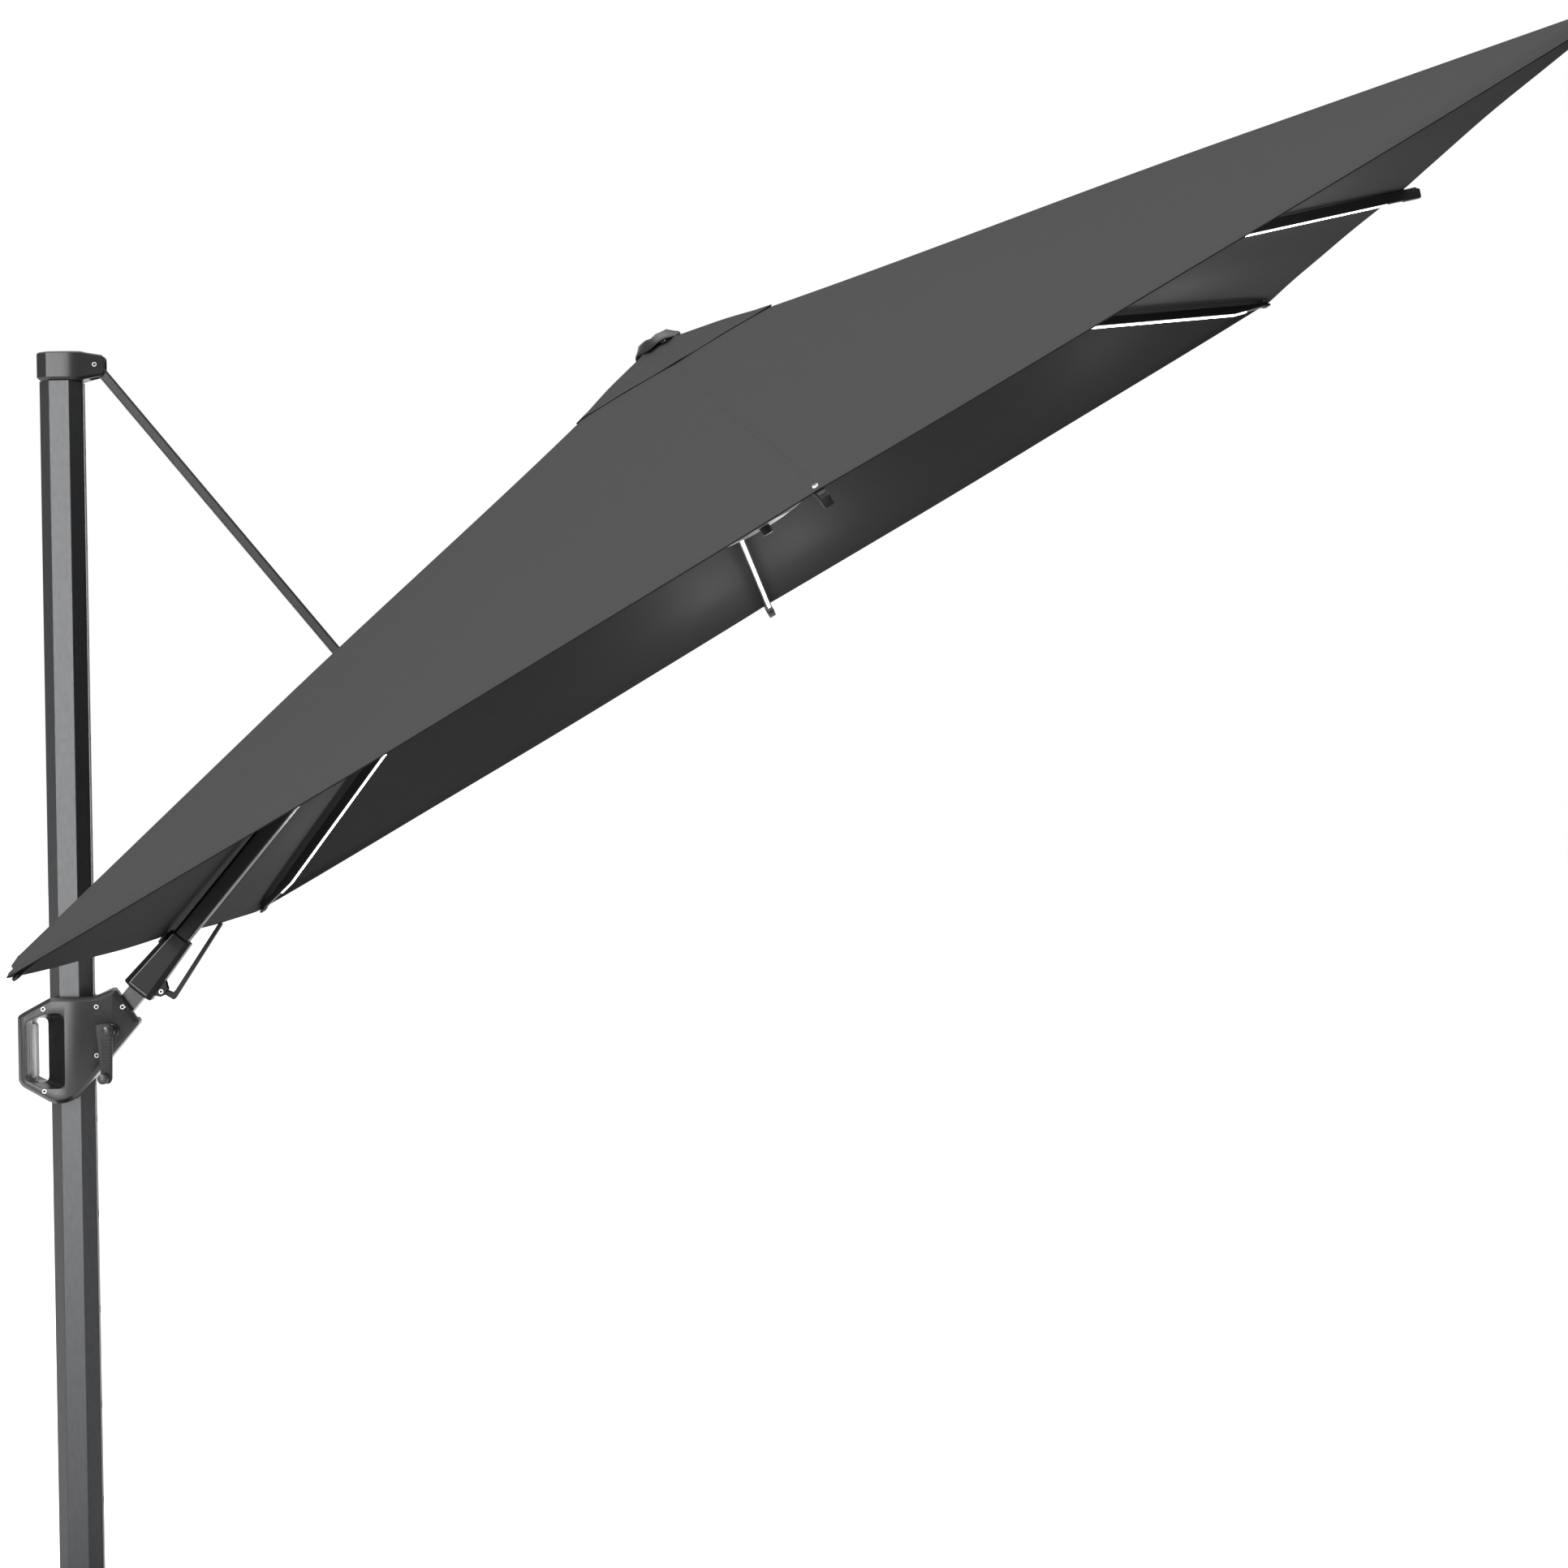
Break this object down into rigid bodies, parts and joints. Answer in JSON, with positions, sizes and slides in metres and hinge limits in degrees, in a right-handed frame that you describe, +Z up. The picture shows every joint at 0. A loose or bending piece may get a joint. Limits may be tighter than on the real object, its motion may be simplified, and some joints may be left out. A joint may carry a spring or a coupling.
{
  "type": "cantilever parasol",
  "caption": "Free-standing cantilever parasol: square canopy on folding ribs, hung from a pivoting arm and strut on an octagonal mast with sliding crank housing and ballasted cross base.",
  "frame": {"origin": "centre of the cross base's underside, on the mast's axis", "axes": "+Z up along the mast, +X towards the canopy, -Y towards the crank side"},
  "size_m": [3.3136, 3.0524, 3.0249],
  "materials": {
    "mast_powder": "fine anthracite powder coat with a metallic grain",
    "rail": "dark anodised",
    "dark_metal": "satin near-black powder coat",
    "stone": "cast concrete",
    "steel": "zinc plated",
    "housing_plastic": "fine moulded grain",
    "trigger_plastic": "grey moulded grip",
    "canopy_fabric": "plain-weave anthracite polyester",
    "hub_plastic": "light grey moulding",
    "led": "white light diffuser"
  },
  "bodies": {
    "base": {"base_beam_long": "dark_metal", "base_beam_cross": "dark_metal", "base_plate": "dark_metal", "ballast_slab_1": "stone", "ballast_slab_2": "stone", "ballast_slab_3": "stone", "ballast_slab_4": "stone", "base_spindle": "steel"},
    "mast": {"mast_tube": "mast_powder", "lock_rail": "rail", "foot_socket": "housing_plastic", "top_cap": "housing_plastic", "strut_pin_upper": "steel"},
    "pedal": {"foot_pedal": "housing_plastic"},
    "slider": {"housing_near": "housing_plastic", "housing_far": "housing_plastic", "arm_pin": "steel"},
    "trigger": {"release_trigger": "trigger_plastic"},
    "lock_bolt": {"lock_bolt": "steel"},
    "crank": {"crank_arm": "housing_plastic", "rope_drum": "housing_plastic"},
    "crank_knob": {"crank_knob": "housing_plastic"},
    "arm_carrier": {"arm_stub": "mast_powder"},
    "arm": {"tilt_sleeve": "housing_plastic", "arm_tube": "mast_powder", "arm_end_fitting": "dark_metal", "edge_clip": "housing_plastic"},
    "tilt_lever": {"tilt_lever": "housing_plastic"},
    "strut": {"strut_tube": "mast_powder", "strut_fork": "dark_metal", "fork_screw_near": "steel", "fork_screw_far": "steel"},
    "hub": {"hub_crown": "dark_metal", "canopy": "canopy_fabric", "vent_canopy": "canopy_fabric", "finial": "housing_plastic"},
    "lower_hub": {"lower_hub": "hub_plastic", "hub_knob": "housing_plastic"},
    "rib_1_arm": {"rib_1": "dark_metal", "led_strip_1": "led"},
    "rib_2_arm": {"rib_2": "dark_metal", "led_strip_2": "led"},
    "rib_3_arm": {"rib_3": "dark_metal", "led_strip_3": "led"},
    "rib_4_arm": {"rib_4": "dark_metal", "led_strip_4": "led"},
    "rib_5_arm": {"rib_5": "dark_metal", "led_strip_5": "led"},
    "rib_6_arm": {"rib_6": "dark_metal", "led_strip_6": "led"},
    "rib_7_arm": {"rib_7": "dark_metal", "led_strip_7": "led"},
    "stretcher_1_link": {"stretcher_1": "dark_metal"},
    "stretcher_2_link": {"stretcher_2": "dark_metal"},
    "stretcher_3_link": {"stretcher_3": "dark_metal"},
    "stretcher_4_link": {"stretcher_4": "dark_metal"},
    "stretcher_5_link": {"stretcher_5": "dark_metal"},
    "stretcher_6_link": {"stretcher_6": "dark_metal"},
    "stretcher_7_link": {"stretcher_7": "dark_metal"},
    "stretcher_8_link": {"stretcher_8": "dark_metal"}
  },
  "joints": [
    {"name": "mast_swivel", "type": "hinge", "parent": "base", "child": "mast", "pos_m": [0, 0, 0.07], "axis": [0, 0, 1], "continuous": true},
    {"name": "pedal_press", "type": "hinge", "parent": "mast", "child": "pedal", "pos_m": [-0.08, 0, 0.086], "axis": [0, 1, 0], "range_deg": [-12, 0], "stiffness_Nm_per_rad": 4},
    {"name": "slider_lift", "type": "slide", "parent": "mast", "child": "slider", "axis": [0, 0, 1], "range_m": [0, 0.652]},
    {"name": "trigger_squeeze", "type": "slide", "parent": "slider", "child": "trigger", "axis": [-1, 0, 0], "range_m": [0, 0.0045], "stiffness_N_per_m": 900},
    {"name": "lock_bolt_slide", "type": "slide", "parent": "slider", "child": "lock_bolt", "axis": [1, 0, 0], "range_m": [0, 0.0045]},
    {"name": "crank_turn", "type": "hinge", "parent": "slider", "child": "crank", "pos_m": [0.09, 0, 1.33], "axis": [0, 1, 0], "range_deg": [0, 1440]},
    {"name": "crank_knob_spin", "type": "hinge", "parent": "crank", "child": "crank_knob", "pos_m": [0.0835, 0, 1.238], "axis": [0, 1, 0], "continuous": true},
    {"name": "arm_lift", "type": "hinge", "parent": "slider", "child": "arm_carrier", "pos_m": [0.11, 0, 1.377], "axis": [0, 1, 0], "range_deg": [0, 30.1]},
    {"name": "strut_swing", "type": "hinge", "parent": "mast", "child": "strut", "pos_m": [0.071, 0, 2.691], "axis": [0, 1, 0], "range_deg": [-25.4, 0]},
    {"name": "arm_roll", "type": "hinge", "parent": "arm_carrier", "child": "arm", "pos_m": [0.11, 0, 1.377], "axis": [0.6414, 0, 0.7672], "range_deg": [-20, 20]},
    {"name": "tilt_lever_squeeze", "type": "hinge", "parent": "arm", "child": "tilt_lever", "pos_m": [0.18418, 0, 1.40492], "axis": [0, 1, 0], "range_deg": [-6, 0], "stiffness_Nm_per_rad": 12},
    {"name": "canopy_fold", "type": "hinge", "parent": "arm", "child": "hub", "pos_m": [1.18618, 0, 2.64871], "axis": [0, 1, 0], "range_deg": [0, 57], "deforming": ["canopy", "vent_canopy"]},
    {"name": "lower_hub_drop", "type": "slide", "parent": "hub", "child": "lower_hub", "axis": [0.5015, 0, -0.8652], "range_m": [0, 1.0771]},
    {"name": "rib_1_fold", "type": "hinge", "parent": "hub", "child": "rib_1_arm", "pos_m": [1.29387, 0, 2.7042], "axis": [0, 1, 0], "range_deg": [0, 57.05]},
    {"name": "rib_2_fold", "type": "hinge", "parent": "hub", "child": "rib_2_arm", "pos_m": [1.27994, 0.03889, 2.69612], "axis": [-0.6118, 0.7071, -0.3546], "range_deg": [0, 62.29]},
    {"name": "rib_3_fold", "type": "hinge", "parent": "hub", "child": "rib_3_arm", "pos_m": [1.24629, 0.055, 2.67662], "axis": [-0.8652, 0, -0.5015], "range_deg": [0, 57.05]},
    {"name": "rib_4_fold", "type": "hinge", "parent": "hub", "child": "rib_4_arm", "pos_m": [1.21264, 0.03889, 2.65712], "axis": [-0.6118, -0.7071, -0.3546], "range_deg": [0, 62.29]},
    {"name": "rib_5_fold", "type": "hinge", "parent": "hub", "child": "rib_5_arm", "pos_m": [1.21264, -0.03889, 2.65712], "axis": [0.6118, -0.7071, 0.3546], "range_deg": [0, 62.29]},
    {"name": "rib_6_fold", "type": "hinge", "parent": "hub", "child": "rib_6_arm", "pos_m": [1.24629, -0.055, 2.67662], "axis": [0.8652, 0, 0.5015], "range_deg": [0, 57.05]},
    {"name": "rib_7_fold", "type": "hinge", "parent": "hub", "child": "rib_7_arm", "pos_m": [1.27994, -0.03889, 2.69612], "axis": [0.6118, 0.7071, 0.3546], "range_deg": [0, 62.29]},
    {"name": "stretcher_1_swing", "type": "hinge", "parent": "lower_hub", "child": "stretcher_1_link", "pos_m": [1.46407, 0.013, 2.40062], "axis": [0, 1, 0], "range_deg": [-65.92, 0]},
    {"name": "stretcher_2_swing", "type": "hinge", "parent": "lower_hub", "child": "stretcher_2_link", "pos_m": [1.44345, 0.04455, 2.38867], "axis": [-0.6118, 0.7071, -0.3546], "range_deg": [-61.25, 0]},
    {"name": "stretcher_3_swing", "type": "hinge", "parent": "lower_hub", "child": "stretcher_3_link", "pos_m": [1.40957, 0.05, 2.36903], "axis": [-0.8652, 0, -0.5015], "range_deg": [-65.92, 0]},
    {"name": "stretcher_4_swing", "type": "hinge", "parent": "lower_hub", "child": "stretcher_4_link", "pos_m": [1.38227, 0.02616, 2.35321], "axis": [-0.6118, -0.7071, -0.3546], "range_deg": [-61.25, 0]},
    {"name": "stretcher_5_swing", "type": "hinge", "parent": "lower_hub", "child": "stretcher_5_link", "pos_m": [1.37756, -0.0275, 2.35047], "axis": [0, -1, 0], "range_deg": [-67.56, 0]},
    {"name": "stretcher_6_swing", "type": "hinge", "parent": "lower_hub", "child": "stretcher_6_link", "pos_m": [1.39818, -0.04455, 2.36243], "axis": [0.6118, -0.7071, 0.3546], "range_deg": [-61.25, 0]},
    {"name": "stretcher_7_swing", "type": "hinge", "parent": "lower_hub", "child": "stretcher_7_link", "pos_m": [1.43206, -0.05, 2.38207], "axis": [0.8652, 0, 0.5015], "range_deg": [-65.92, 0]},
    {"name": "stretcher_8_swing", "type": "hinge", "parent": "lower_hub", "child": "stretcher_8_link", "pos_m": [1.45936, -0.02616, 2.39789], "axis": [0.6118, 0.7071, 0.3546], "range_deg": [-61.25, 0]}
  ],
  "couplings": [
    {"joint": "lock_bolt_slide", "follows": "trigger_squeeze", "ratio": 1},
    {"joint": "arm_lift", "follows": "slider_lift", "rad_per_m": 0.80573},
    {"joint": "strut_swing", "follows": "slider_lift", "rad_per_m": -0.67939},
    {"joint": "crank_turn", "follows": "canopy_fold", "ratio": 25.26},
    {"joint": "lower_hub_drop", "follows": "canopy_fold", "m_per_rad": 1.0822},
    {"joint": "rib_1_fold", "follows": "canopy_fold", "ratio": 1},
    {"joint": "rib_2_fold", "follows": "canopy_fold", "ratio": 1.092},
    {"joint": "rib_3_fold", "follows": "canopy_fold", "ratio": 1},
    {"joint": "rib_4_fold", "follows": "canopy_fold", "ratio": 1.092},
    {"joint": "rib_5_fold", "follows": "canopy_fold", "ratio": 1.092},
    {"joint": "rib_6_fold", "follows": "canopy_fold", "ratio": 1},
    {"joint": "rib_7_fold", "follows": "canopy_fold", "ratio": 1.092},
    {"joint": "stretcher_1_swing", "follows": "canopy_fold", "ratio": -1.1556},
    {"joint": "stretcher_2_swing", "follows": "canopy_fold", "ratio": -1.0737},
    {"joint": "stretcher_3_swing", "follows": "canopy_fold", "ratio": -1.1556},
    {"joint": "stretcher_4_swing", "follows": "canopy_fold", "ratio": -1.0737},
    {"joint": "stretcher_5_swing", "follows": "canopy_fold", "ratio": -1.1844},
    {"joint": "stretcher_6_swing", "follows": "canopy_fold", "ratio": -1.0737},
    {"joint": "stretcher_7_swing", "follows": "canopy_fold", "ratio": -1.1556},
    {"joint": "stretcher_8_swing", "follows": "canopy_fold", "ratio": -1.0737}
  ]
}
